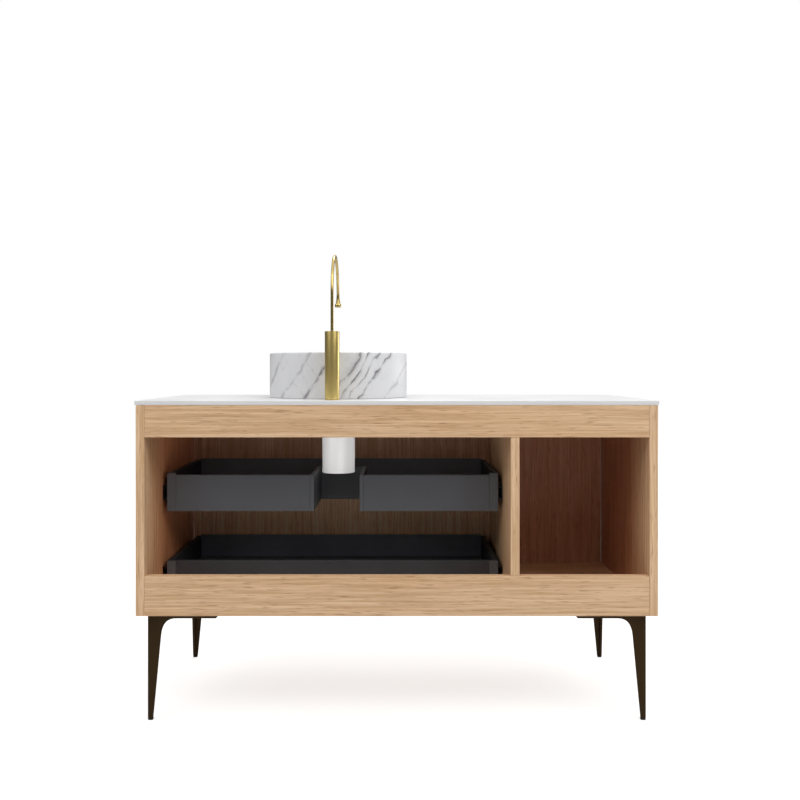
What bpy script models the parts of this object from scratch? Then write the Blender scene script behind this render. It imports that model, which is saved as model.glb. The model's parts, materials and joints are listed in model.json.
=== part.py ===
"""Bathroom vanity: oak cabinet on four steel legs, slim stone counter, round vessel basin,
gooseneck faucet, two drawers on ball-bearing slides and one pivoted door.

Metres, +Z up. The origin is on the floor under the middle of the counter.
The user stands at -Y, in front of the drawers; the open service back faces +Y.
"""

import math

import bmesh
import bpy
from mathutils import Matrix, Vector

# Overall sizes
VANITY_WIDTH = 1.219
VANITY_DEPTH = 0.508
LEG_HEIGHT = 0.250
CABINET_HEIGHT = 0.490
COUNTER_THICKNESS = 0.010
COUNTER_OVERHANG = 0.003
TOUCH_GAP = 0.0003

# Cabinet panels
SIDE_THICKNESS = 0.020
DIVIDER_THICKNESS = 0.0205
FLOOR_THICKNESS = 0.020
RAIL_THICKNESS = 0.020
TOP_RAIL_HEIGHT = 0.075
BOTTOM_RAIL_HEIGHT = 0.093
CUPBOARD_WIDTH = 0.3015
STRETCHER_THICKNESS = 0.020
STRETCHER_DEPTH = 0.080
STRETCHER_SETBACK = 0.028

# Fronts
FRONT_THICKNESS = 0.018
FRONT_SIDE_GAP = 0.0025
FRONT_BETWEEN_GAP = 0.003
FRONT_BOTTOM_GAP = 0.003
FRONT_TO_CARCASS = 0.0025
FINGER_GAP_TOP = 0.022
FINGER_GAP_MIDDLE = 0.015
FRONT_BELOW_DRAWER = 0.0005

# Legs
LEG_INSET = 0.022
LEG_PLATE = 0.006
LEG_FLANGE_LENGTH = 0.169
LEG_FLANGE_HEIGHT = 0.0113
LEG_END_CHAMFER = 0.009
LEG_FOOT_WIDTH = 0.012
LEG_WEB_WIDTH = 0.0305
LEG_WEB_DROP = 0.0516
LEG_FILLET_START = 0.066
LEG_FILLET_STEPS = 8
FOOT_PAD_HEIGHT = 0.003
FOOT_PAD_MARGIN = 0.0005

# Door pivots
PIVOT_RADIUS = 0.003
PIVOT_LENGTH = 0.010
PIVOT_CLEARANCE = 0.00015
PIVOT_END_CLEARANCE = 0.0005
PIVOT_PLATE = 0.0022
PIVOT_UPRIGHT_THICKNESS = 0.0015
PIVOT_UPRIGHT_HEIGHT = 0.018
PIVOT_WIDTH = 0.014
PIVOT_SEAT_GAP = 0.0004

# Drawers
DRAWER_BACK_SPACE = 0.155
DRAWER_WALL = 0.012
DRAWER_FLOOR = 0.008
DRAWER_FLOOR_LIFT = 0.003
DRAWER_CORNER_RETURN = 0.022
UPPER_DRAWER_DROP = 0.271
UPPER_REAR_HEIGHT = 0.090
UPPER_SIDE_HEIGHT = 0.095
LOWER_DRAWER_LIFT = 0.008
LOWER_BOX_HEIGHT = 0.067
INNER_FRONT_RISE = 0.004
NOTCH_WALL = 0.010
NOTCH_SIDE_CLEARANCE = 0.014
NOTCH_END_CLEARANCE = 0.032
NOTCH_SHIFT = -0.0045

# Drawer slides
SLIDE_SPACE = 0.012
SLIDE_HEIGHT = 0.035
SLIDE_PLATE = 0.0012
SLIDE_BALL_GAP = 0.0008
SLIDE_FRONT_SETBACK = 0.0035
SLIDE_BACK_SETBACK = 0.004
SLIDE_LIFT_UPPER = 0.0455
SLIDE_LIFT_LOWER = 0.0335

# Faucet
FAUCET_X = 0.155
FAUCET_FROM_BACK = 0.062
FAUCET_BODY_DIAMETER = 0.035
FAUCET_ABOVE_RIM = 0.049
BODY_BORE_RADIUS = 0.010
BODY_NECK_DEPTH = 0.040
SHANK_RADIUS = 0.015
SHANK_BORE_RADIUS = 0.011
SHANK_DROP = 0.040
SHANK_HOLE_CLEARANCE = 0.002
SHANK_NUT_RADIUS = 0.025
SHANK_NUT_HEIGHT = 0.008
SPOUT_RADIUS = 0.0037
SPOUT_RUNNING_CLEARANCE = 0.0004
SPOUT_ROOT_DEPTH = 0.038
SPOUT_RISE = 0.0908
SPOUT_REACH = 0.202
SPOUT_END_DROP = 0.019
NOZZLE_RADIUS = 0.0085
NOZZLE_LENGTH = 0.037
NOZZLE_LIP = 0.0013
NOZZLE_RECESS = 0.007

# Faucet lever
LEVER_ABOVE_RIM = 0.025
LEVER_BOSS_RADIUS = 0.0125
LEVER_BOSS_LENGTH = 0.004
LEVER_HUB_RADIUS = 0.012
LEVER_HUB_LENGTH = 0.012
LEVER_SLOT_DEPTH = 0.009
LEVER_AXIS_DEPTH = 0.0045
LEVER_RADIUS = 0.003
LEVER_LENGTH = 0.050
LEVER_SIDE_CLEARANCE = 0.0004
LEVER_PIN_RADIUS = 0.001
LEVER_PIN_HALF_LENGTH = 0.010

# Basin and drain
BASIN_DIAMETER = 0.360
BASIN_HEIGHT = 0.115
BASIN_WALL = 0.014
BASIN_FLOOR = 0.020
BASIN_FLOOR_RISE = 0.008
BASIN_FILLET = 0.015
BASIN_RIM_ROUND = 0.003
BASIN_TO_FAUCET = 0.0255
DRAIN_RADIUS = 0.022
DRAIN_BORE_RADIUS = 0.0165
DRAIN_HOLE_CLEARANCE = 0.0008
DRAIN_FLANGE_RADIUS = 0.0325
DRAIN_FLANGE_HEIGHT = 0.003
DRAIN_THREAD_DROP = 0.045
GASKET_RADIUS = 0.036
GASKET_HEIGHT = 0.004
DRAIN_NUT_RADIUS = 0.0335
DRAIN_NUT_HEIGHT = 0.009
TAILPIECE_WALL = 0.002
TAILPIECE_OVERLAP = 0.020
TAILPIECE_RECESS = 0.008
STOPPER_RADIUS = 0.028
STOPPER_HEIGHT = 0.004
STOPPER_STEM_RADIUS = 0.004
STOPPER_STEM_LENGTH = 0.034
SHROUD_RADIUS = 0.043
SHROUD_WALL = 0.003
SHROUD_DROP = 0.188

# Roundness of turned pieces
BASIN_STEPS = 56
TURN_STEPS = 32
SPOUT_STEPS = 16
PIN_STEPS = 16
ARCH_STEPS = 24
ROUND_STEPS = 4
SHARP_ANGLE = math.radians(35)

FINISHES = {
    "oak": ((0.584, 0.367, 0.209), 0.50, 0.0),
    "stone": ((0.807, 0.807, 0.807), 0.30, 0.0),
    "marble": ((0.720, 0.725, 0.740), 0.25, 0.0),
    "charcoal": ((0.066, 0.068, 0.073), 0.45, 0.0),
    "bronze": ((0.042, 0.025, 0.012), 0.40, 0.6),
    "gold": ((0.420, 0.300, 0.090), 0.28, 1.0),
    "zinc": ((0.550, 0.560, 0.570), 0.35, 1.0),
    "white_plastic": ((0.680, 0.680, 0.680), 0.40, 0.0),
    "rubber": ((0.020, 0.020, 0.020), 0.80, 0.0),
    "nylon": ((0.250, 0.250, 0.240), 0.60, 0.0),
}

# Places worked out from the sizes above
half_width = VANITY_WIDTH / 2
half_depth = VANITY_DEPTH / 2
cabinet_side = half_width - COUNTER_OVERHANG
cabinet_back = half_depth
cabinet_front = -half_depth + COUNTER_OVERHANG
cabinet_bottom = LEG_HEIGHT
cabinet_top = LEG_HEIGHT + CABINET_HEIGHT
panel_top = cabinet_top - TOUCH_GAP
counter_top_z = cabinet_top + COUNTER_THICKNESS
inner_right = cabinet_side - SIDE_THICKNESS
inner_left = -inner_right
floor_top = cabinet_bottom + FLOOR_THICKNESS
divider_left = inner_left + CUPBOARD_WIDTH
divider_right = divider_left + DIVIDER_THICKNESS
divider_middle = (divider_left + divider_right) / 2
rail_inner = cabinet_back - RAIL_THICKNESS
front_inner = cabinet_front + FRONT_THICKNESS
carcass_front = front_inner + FRONT_TO_CARCASS
front_bottom = cabinet_bottom + FRONT_BOTTOM_GAP
front_top = cabinet_top - FINGER_GAP_TOP

drawer_back = cabinet_back - DRAWER_BACK_SPACE
drawer_front = front_inner + TOUCH_GAP
drawer_left = divider_right + SLIDE_SPACE
drawer_right = inner_right - SLIDE_SPACE
upper_bottom = cabinet_top - UPPER_DRAWER_DROP
lower_bottom = floor_top + LOWER_DRAWER_LIFT
upper_front_bottom = upper_bottom - FRONT_BELOW_DRAWER
lower_front_top = upper_front_bottom - FINGER_GAP_MIDDLE

faucet_y = cabinet_back - FAUCET_FROM_BACK
faucet_radius = FAUCET_BODY_DIAMETER / 2
basin_radius = BASIN_DIAMETER / 2
basin_y = faucet_y - faucet_radius - BASIN_TO_FAUCET - basin_radius
basin_bottom = counter_top_z + TOUCH_GAP
rim_z = counter_top_z + BASIN_HEIGHT
body_bottom = counter_top_z + TOUCH_GAP
body_top = rim_z + FAUCET_ABOVE_RIM
lever_z = rim_z + LEVER_ABOVE_RIM
shroud_bottom = cabinet_top - SHROUD_DROP


def clear_scene():
    for item in list(bpy.data.objects):
        bpy.data.objects.remove(item, do_unlink=True)


def give_material(part, finish):
    colour, roughness, metallic = FINISHES[finish]
    material = bpy.data.materials.new(part.name + "_" + finish)
    material.use_nodes = True
    shader = material.node_tree.nodes["Principled BSDF"]
    shader.inputs["Base Color"].default_value = (*colour, 1.0)
    shader.inputs["Roughness"].default_value = roughness
    shader.inputs["Metallic"].default_value = metallic
    part.data.materials.append(material)


def new_object(name, shape, place, parent=None, round_piece=False):
    """Make an object of a shape whose points are measured from place."""
    bmesh.ops.recalc_face_normals(shape, faces=shape.faces)
    mesh = bpy.data.meshes.new(name)
    shape.to_mesh(mesh)
    shape.free()
    if round_piece:
        mesh.shade_smooth()
        mesh.set_sharp_from_angle(angle=SHARP_ANGLE)
    item = bpy.data.objects.new(name, mesh)
    bpy.context.scene.collection.objects.link(item)
    item.location = Vector(place)
    if parent:
        item.location -= parent.location
        item.parent = parent
    return item


def new_part(name, shape, finish, place, parent=None, round_piece=False):
    part = new_object(name, shape, place, parent, round_piece)
    give_material(part, finish)
    return part


def new_frame(name, place):
    """An empty that carries a group of pieces that move together."""
    frame = bpy.data.objects.new(name, None)
    bpy.context.scene.collection.objects.link(frame)
    frame.location = place
    return frame


def new_helper(name, shape, place):
    """A guide for a Boolean, which isn't a piece of the vanity."""
    helper = new_object(name, shape, place)
    helper.hide_render = True
    helper.display_type = "WIRE"
    return helper


def add_boolean(part, helper, operation="DIFFERENCE"):
    modifier = part.modifiers.new(helper.name, "BOOLEAN")
    modifier.operation = operation
    modifier.object = helper
    modifier.solver = "EXACT"


def box_shape(size):
    shape = bmesh.new()
    bmesh.ops.create_cube(shape, size=1.0, matrix=Matrix.Diagonal((*size, 1.0)))
    return shape


def new_box(name, low, high, finish, parent=None):
    low = Vector(low)
    high = Vector(high)
    return new_part(name, box_shape(high - low), finish, (low + high) / 2, parent)


def extruded_shape(outline, plane, start, end):
    """Extrude a flat outline: plane xy runs along Z, xz along Y and yz along X."""
    order = {"xy": (0, 1, 2), "xz": (0, 2, 1), "yz": (1, 2, 0)}[plane]
    shape = bmesh.new()
    corners = []
    for first, second in outline:
        values = (first, second, start)
        corner = [0.0, 0.0, 0.0]
        for slot, value in zip(order, values):
            corner[slot] = value
        corners.append(shape.verts.new(corner))
    face = shape.faces.new(corners)
    lifted = bmesh.ops.extrude_face_region(shape, geom=[face])
    moved = [item for item in lifted["geom"] if isinstance(item, bmesh.types.BMVert)]
    shift = [0.0, 0.0, 0.0]
    shift[order[2]] = end - start
    bmesh.ops.translate(shape, verts=moved, vec=shift)
    return shape


def turned_shape(profile, steps=TURN_STEPS, axis="Z"):
    """Turn a closed profile of (radius, height) points about an axis."""
    shape = bmesh.new()
    points = [shape.verts.new((radius, 0.0, height)) for radius, height in profile]
    edges = [shape.edges.new((points[i - 1], points[i])) for i in range(len(points))]
    bmesh.ops.spin(
        shape, geom=points + edges, cent=(0, 0, 0), axis=(0, 0, 1),
        angle=math.tau, steps=steps, use_merge=True, use_duplicate=False,
    )
    bmesh.ops.remove_doubles(shape, verts=shape.verts, dist=0.00001)
    bmesh.ops.dissolve_degenerate(shape, edges=shape.edges, dist=0.00001)
    turns = {"X": Matrix.Rotation(math.pi / 2, 4, "Y"), "Y": Matrix.Rotation(math.pi / 2, 4, "X")}
    if axis in turns:
        bmesh.ops.transform(shape, matrix=turns[axis], verts=shape.verts)
    return shape


def rod_shape(radius, low, high, steps=TURN_STEPS, axis="Z"):
    return turned_shape([(0.0, low), (radius, low), (radius, high), (0.0, high)], steps, axis)


def tube_shape(bore, radius, low, high, steps=TURN_STEPS):
    return turned_shape([(bore, low), (radius, low), (radius, high), (bore, high)], steps)


def swept_shape(rings, steps):
    """Skin a row of circles given as (centre, direction, radius), closed at both ends."""
    shape = bmesh.new()
    rows = []
    for centre, direction, radius in rings:
        turn = Vector((0, 0, 1)).rotation_difference(direction).to_matrix().to_4x4()
        place = Matrix.Translation(centre) @ turn
        circle = bmesh.ops.create_circle(shape, segments=steps, radius=radius, matrix=place)
        rows.append(circle["verts"])
    for before, after in zip(rows, rows[1:]):
        for i in range(steps):
            shape.faces.new((before[i - 1], before[i], after[i], after[i - 1]))
    shape.faces.new(rows[0])
    shape.faces.new(rows[-1])
    return shape


def arc_points(centre, radius, start, end, steps):
    """Points on an arc, angles in degrees from the first axis of the outline."""
    points = []
    for i in range(steps + 1):
        angle = math.radians(start + (end - start) * i / steps)
        points.append((centre[0] + radius * math.cos(angle), centre[1] + radius * math.sin(angle)))
    return points


def make_carcass():
    """Sides, divider, floor, back rails and the stretcher behind the top finger gap."""
    side_low = cabinet_side - SIDE_THICKNESS
    for name, left, right in (
        ("side_panel_left", -cabinet_side, -side_low),
        ("side_panel_right", side_low, cabinet_side),
    ):
        new_box(name, (left, cabinet_front, cabinet_bottom), (right, cabinet_back, panel_top), "oak")

    left = inner_left + TOUCH_GAP
    right = inner_right - TOUCH_GAP
    bottom_rail_top = cabinet_bottom + BOTTOM_RAIL_HEIGHT
    top_rail_bottom = cabinet_top - TOP_RAIL_HEIGHT
    stretcher_front = front_inner + STRETCHER_SETBACK
    stretcher_back = stretcher_front + STRETCHER_DEPTH
    stretcher_bottom = panel_top - STRETCHER_THICKNESS
    behind_rails = rail_inner - TOUCH_GAP
    new_box("bottom_panel", (left, carcass_front, cabinet_bottom), (right, behind_rails, floor_top), "oak")
    new_box("back_rail_top", (left, rail_inner, top_rail_bottom), (right, cabinet_back, panel_top), "oak")
    new_box(
        "back_rail_bottom", (left, rail_inner, cabinet_bottom),
        (right, cabinet_back, bottom_rail_top), "oak",
    )
    new_box(
        "front_stretcher", (left, stretcher_front, stretcher_bottom),
        (right, stretcher_back, panel_top), "oak",
    )

    # The divider is flush with the rails at the back and notched round them and the stretcher
    outline = [
        (carcass_front, floor_top + TOUCH_GAP),
        (behind_rails, floor_top + TOUCH_GAP),
        (behind_rails, bottom_rail_top + TOUCH_GAP),
        (cabinet_back, bottom_rail_top + TOUCH_GAP),
        (cabinet_back, top_rail_bottom - TOUCH_GAP),
        (behind_rails, top_rail_bottom - TOUCH_GAP),
        (behind_rails, panel_top),
        (stretcher_back + TOUCH_GAP, panel_top),
        (stretcher_back + TOUCH_GAP, stretcher_bottom - TOUCH_GAP),
        (carcass_front, stretcher_bottom - TOUCH_GAP),
    ]
    half = DIVIDER_THICKNESS / 2
    new_part("divider_panel", extruded_shape(outline, "yz", -half, half), "oak", (divider_middle, 0, 0))


def make_counter():
    counter = new_box(
        "counter_top", (-half_width, -half_depth, cabinet_top),
        (half_width, half_depth, counter_top_z), "stone",
    )
    drain_hole = rod_shape(DRAIN_RADIUS + DRAIN_HOLE_CLEARANCE, -COUNTER_THICKNESS, COUNTER_THICKNESS * 2)
    shank_hole = rod_shape(SHANK_RADIUS + SHANK_HOLE_CLEARANCE, -COUNTER_THICKNESS, COUNTER_THICKNESS * 2)
    add_boolean(counter, new_helper("drain_hole_cutter", drain_hole, (FAUCET_X, basin_y, cabinet_top)))
    add_boolean(counter, new_helper("shank_hole_cutter", shank_hole, (FAUCET_X, faucet_y, cabinet_top)))


def leg_widths():
    """Heights and arm widths of the leg's angle section, from the foot to the flange."""
    top = cabinet_bottom - TOUCH_GAP
    foot = FOOT_PAD_HEIGHT + TOUCH_GAP
    flange_bottom = top - LEG_FLANGE_HEIGHT
    taper_top = top - LEG_WEB_DROP
    slope = (LEG_WEB_WIDTH - LEG_FOOT_WIDTH) / (taper_top - foot)
    corner = (LEG_WEB_WIDTH + slope * (flange_bottom - taper_top), flange_bottom)
    start = (LEG_WEB_WIDTH, taper_top)
    end = (LEG_FILLET_START, flange_bottom)
    sections = [(LEG_FOOT_WIDTH, foot)]
    for i in range(LEG_FILLET_STEPS + 1):
        t = i / LEG_FILLET_STEPS
        weights = ((1 - t) ** 2, 2 * t * (1 - t), t ** 2)
        width = sum(w * point[0] for w, point in zip(weights, (start, corner, end)))
        height = sum(w * point[1] for w, point in zip(weights, (start, corner, end)))
        sections.append((width, height))
    sections.append((LEG_FLANGE_LENGTH - LEG_END_CHAMFER, flange_bottom))
    sections.append((LEG_FLANGE_LENGTH, top))
    return sections


def make_leg(name, side, end):
    """An angle-section leg whose arms run inwards from its outer corner."""
    shape = bmesh.new()
    rows = []
    for width, height in leg_widths():
        corners = [
            (0, 0), (width, 0), (width, LEG_PLATE),
            (LEG_PLATE, LEG_PLATE), (LEG_PLATE, width), (0, width),
        ]
        rows.append([shape.verts.new((-side * x, -end * y, height)) for x, y in corners])
    for before, after in zip(rows, rows[1:]):
        for i in range(len(before)):
            shape.faces.new((before[i - 1], before[i], after[i], after[i - 1]))
    shape.faces.new(rows[0])
    shape.faces.new(rows[-1])
    x = side * (cabinet_side - LEG_INSET)
    y = cabinet_back - LEG_INSET if end > 0 else cabinet_front + LEG_INSET
    new_part("leg_" + name, shape, "bronze", (x, y, 0))

    near = FOOT_PAD_MARGIN
    far = LEG_FOOT_WIDTH - FOOT_PAD_MARGIN
    low = (min(-side * near, -side * far) + x, min(-end * near, -end * far) + y, 0)
    high = (max(-side * near, -side * far) + x, max(-end * near, -end * far) + y, FOOT_PAD_HEIGHT)
    new_box("foot_pad_" + name, low, high, "rubber")


def make_legs():
    for name, side, end in (
        ("front_left", -1, -1), ("front_right", 1, -1), ("rear_left", -1, 1), ("rear_right", 1, 1),
    ):
        make_leg(name, side, end)


def make_pivot(name, place, direction):
    """An angle bracket with a pin that runs into the door; direction is the pin's way along Z."""
    plate_end = direction * -PIVOT_PLATE
    back = carcass_front - TOUCH_GAP - place[1]
    upright_front = back - PIVOT_UPRIGHT_THICKNESS
    front = -PIVOT_WIDTH / 2
    rise = direction * PIVOT_UPRIGHT_HEIGHT
    outline = [
        (front, plate_end), (back, plate_end), (back, rise),
        (upright_front, rise), (upright_front, 0.0), (front, 0.0),
    ]
    half = PIVOT_WIDTH / 2
    bracket = new_part(name, extruded_shape(outline, "yz", -half, half), "zinc", place)
    middle = plate_end / 2
    tip = direction * PIVOT_LENGTH
    pin = rod_shape(PIVOT_RADIUS, min(middle, tip), max(middle, tip), PIN_STEPS)
    add_boolean(bracket, new_helper(name + "_pin", pin, place), "UNION")


def make_door():
    """The cupboard door, round along its hinge edge so that it turns within its gap."""
    nose = FRONT_THICKNESS / 2
    hinge_edge = divider_middle - FRONT_BETWEEN_GAP / 2
    axis_x = hinge_edge - nose
    axis_y = cabinet_front + nose
    free_edge = inner_left + FRONT_SIDE_GAP - axis_x
    outline = [(free_edge, nose), (free_edge, -nose)] + arc_points((0, 0), nose, -90, 90, ROUND_STEPS * 2)
    door = new_part(
        "door_panel", extruded_shape(outline, "xy", front_bottom, front_top),
        "oak", (axis_x, axis_y, 0),
    )
    bore = PIVOT_RADIUS + PIVOT_CLEARANCE
    depth = PIVOT_LENGTH + PIVOT_END_CLEARANCE
    for name, edge, direction in (("bottom", front_bottom, 1), ("top", front_top, -1)):
        ends = (-direction * PIVOT_END_CLEARANCE, direction * depth)
        hole = rod_shape(bore, min(ends), max(ends), PIN_STEPS)
        add_boolean(door, new_helper("door_bore_" + name, hole, (axis_x, axis_y, edge)))
        seat = edge - direction * PIVOT_SEAT_GAP
        make_pivot("door_pivot_" + name, (axis_x, axis_y, seat), direction)


def channel_outline(plate, mouth, half_height):
    """A C section with its plate at x = plate and its flanges running to x = mouth."""
    inner = plate + math.copysign(SLIDE_PLATE, mouth - plate)
    inner_height = half_height - SLIDE_PLATE
    return [
        (plate, -half_height), (mouth, -half_height), (mouth, -inner_height), (inner, -inner_height),
        (inner, inner_height), (mouth, inner_height), (mouth, half_height), (plate, half_height),
    ]


def make_slide(name, wall, towards, height, frames):
    """One ball-bearing slide: channel on the cabinet, middle channel and channel on the drawer."""
    start = carcass_front + SLIDE_FRONT_SETBACK
    end = drawer_back - SLIDE_BACK_SETBACK
    step = SLIDE_PLATE + SLIDE_BALL_GAP
    wall_plate = TOUCH_GAP
    drawer_plate = SLIDE_SPACE - TOUCH_GAP
    middle_plate = wall_plate + step
    half = SLIDE_HEIGHT / 2
    members = (
        ("outer", wall_plate, drawer_plate - step, half, None),
        ("middle", middle_plate, drawer_plate - step, half - step, frames[0]),
        ("inner", drawer_plate, middle_plate + step, half - 2 * step, frames[1]),
    )
    for member, plate, mouth, half_height, frame in members:
        outline = channel_outline(towards * plate, towards * mouth, half_height)
        shape = extruded_shape(outline, "xz", start, end)
        new_part(name + "_" + member, shape, "zinc", (wall, 0, height), frame)


def make_slides(drawer, height, frames):
    make_slide(drawer + "_slide_left", divider_right, 1, height, frames)
    make_slide(drawer + "_slide_right", inner_right, -1, height, frames)


def make_drawer_side(name, outer, towards, low, high, frame):
    """A drawer side with a short return round its rear corner."""
    inner = outer + towards * DRAWER_WALL
    corner = outer + towards * DRAWER_CORNER_RETURN
    outline = [
        (outer, drawer_front), (inner, drawer_front), (inner, drawer_back - DRAWER_WALL),
        (corner, drawer_back - DRAWER_WALL), (corner, drawer_back), (outer, drawer_back),
    ]
    outline = [(x - outer, y) for x, y in outline]
    new_part(name, extruded_shape(outline, "xy", low, high), "charcoal", (outer, 0, 0), frame)


def make_inner_front(name, low, side_top, frame):
    """The box's own front wall, behind the oak front and between the two sides."""
    inset = DRAWER_WALL + TOUCH_GAP
    new_box(
        name, (drawer_left + inset, drawer_front, low),
        (drawer_right - inset, drawer_front + DRAWER_WALL, side_top + INNER_FRONT_RISE),
        "charcoal", frame,
    )


def make_drawer_front(name, low, high, frame):
    left = divider_middle + FRONT_BETWEEN_GAP / 2
    right = inner_right - FRONT_SIDE_GAP
    new_box(name, (left, cabinet_front, low), (right, front_inner, high), "oak", frame)


def make_upper_drawer():
    """The upper drawer, a U in plan that passes round the drain."""
    frame = new_frame("upper_drawer_frame", (FAUCET_X, cabinet_front, upper_bottom))
    slide_frame = new_frame("upper_slide_frame", (FAUCET_X, cabinet_front, upper_bottom))
    side_top = upper_bottom + UPPER_SIDE_HEIGHT
    rear_top = upper_bottom + UPPER_REAR_HEIGHT
    make_drawer_side("upper_drawer_side_left", drawer_left, 1, upper_bottom, side_top, frame)
    make_drawer_side("upper_drawer_side_right", drawer_right, -1, upper_bottom, side_top, frame)
    make_inner_front("upper_drawer_inner_front", upper_bottom, side_top, frame)

    notch_x = FAUCET_X + NOTCH_SHIFT
    notch_half = SHROUD_RADIUS + NOTCH_SIDE_CLEARANCE
    notch_end = basin_y - SHROUD_RADIUS - NOTCH_END_CLEARANCE
    wall_half = notch_half + NOTCH_WALL
    outline = [
        (-wall_half, drawer_back), (-wall_half, notch_end - NOTCH_WALL),
        (wall_half, notch_end - NOTCH_WALL), (wall_half, drawer_back),
        (notch_half, drawer_back), (notch_half, notch_end),
        (-notch_half, notch_end), (-notch_half, drawer_back),
    ]
    shape = extruded_shape(outline, "xy", upper_bottom, rear_top)
    new_part("upper_drawer_notch", shape, "charcoal", (notch_x, 0, 0), frame)

    rear_front = drawer_back - DRAWER_WALL
    left_start = drawer_left + DRAWER_CORNER_RETURN + TOUCH_GAP
    left_end = notch_x - wall_half - TOUCH_GAP
    right_start = notch_x + wall_half + TOUCH_GAP
    right_end = drawer_right - DRAWER_CORNER_RETURN - TOUCH_GAP
    for name, start, end in (("left", left_start, left_end), ("right", right_start, right_end)):
        new_box(
            "upper_drawer_rear_" + name, (start, rear_front, upper_bottom),
            (end, drawer_back, rear_top), "charcoal", frame,
        )

    left = drawer_left + DRAWER_WALL + TOUCH_GAP
    right = drawer_right - DRAWER_WALL - TOUCH_GAP
    rear = rear_front - TOUCH_GAP
    inner_end = notch_end - NOTCH_WALL - TOUCH_GAP
    floor_front = drawer_front + DRAWER_WALL + TOUCH_GAP
    outline = [
        (left, floor_front), (right, floor_front), (right, rear), (right_start, rear),
        (right_start, inner_end), (left_end, inner_end), (left_end, rear), (left, rear),
    ]
    low = upper_bottom + DRAWER_FLOOR_LIFT
    shape = extruded_shape([(x - FAUCET_X, y) for x, y in outline], "xy", low, low + DRAWER_FLOOR)
    new_part("upper_drawer_bottom", shape, "charcoal", (FAUCET_X, 0, 0), frame)
    make_drawer_front("upper_drawer_front", upper_front_bottom, front_top, frame)
    make_slides("upper", upper_bottom + SLIDE_LIFT_UPPER, (slide_frame, frame))


def make_lower_drawer():
    frame = new_frame("lower_drawer_frame", (FAUCET_X, cabinet_front, lower_bottom))
    slide_frame = new_frame("lower_slide_frame", (FAUCET_X, cabinet_front, lower_bottom))
    top = lower_bottom + LOWER_BOX_HEIGHT
    make_drawer_side("lower_drawer_side_left", drawer_left, 1, lower_bottom, top, frame)
    make_drawer_side("lower_drawer_side_right", drawer_right, -1, lower_bottom, top, frame)
    make_inner_front("lower_drawer_inner_front", lower_bottom, top, frame)
    rear_front = drawer_back - DRAWER_WALL
    return_end = DRAWER_CORNER_RETURN + TOUCH_GAP
    new_box(
        "lower_drawer_rear", (drawer_left + return_end, rear_front, lower_bottom),
        (drawer_right - return_end, drawer_back, top), "charcoal", frame,
    )
    low = lower_bottom + DRAWER_FLOOR_LIFT
    inset = DRAWER_WALL + TOUCH_GAP
    new_box(
        "lower_drawer_bottom", (drawer_left + inset, drawer_front + inset, low),
        (drawer_right - inset, rear_front - TOUCH_GAP, low + DRAWER_FLOOR), "charcoal", frame,
    )
    make_drawer_front("lower_drawer_front", front_bottom, lower_front_top, frame)
    make_slides("lower", lower_bottom + SLIDE_LIFT_LOWER, (slide_frame, frame))


def make_basin():
    """A straight-sided round basin with a rounded rim and a floor that falls to the drain."""
    floor_edge = BASIN_FLOOR + BASIN_FLOOR_RISE
    inner = basin_radius - BASIN_WALL
    rim = BASIN_HEIGHT - TOUCH_GAP
    hole = DRAIN_RADIUS + DRAIN_HOLE_CLEARANCE
    recess = DRAIN_FLANGE_RADIUS + TOUCH_GAP
    seat = BASIN_FLOOR - DRAIN_FLANGE_HEIGHT - TOUCH_GAP
    round_r = BASIN_RIM_ROUND
    profile = [(hole, 0.0), (basin_radius - round_r, 0.0), (basin_radius, round_r)]
    profile += arc_points((basin_radius - round_r, rim - round_r), round_r, 0, 90, ROUND_STEPS)
    profile += arc_points((inner + round_r, rim - round_r), round_r, 90, 180, ROUND_STEPS)
    fillet_centre = (inner - BASIN_FILLET, floor_edge + BASIN_FILLET)
    profile += arc_points(fillet_centre, BASIN_FILLET, 0, -90, ROUND_STEPS * 2)
    profile += [(recess, BASIN_FLOOR), (recess, seat), (hole, seat)]
    new_part(
        "basin", turned_shape(profile, BASIN_STEPS), "marble",
        (FAUCET_X, basin_y, basin_bottom), round_piece=True,
    )


def make_nut(name, radius, bore, low, high, place):
    nut = new_part(name, rod_shape(radius, low, high, steps=6), "zinc", place)
    hole = rod_shape(bore, low - TOUCH_GAP, high + TOUCH_GAP)
    add_boolean(nut, new_helper(name + "_bore", hole, place))


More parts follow.
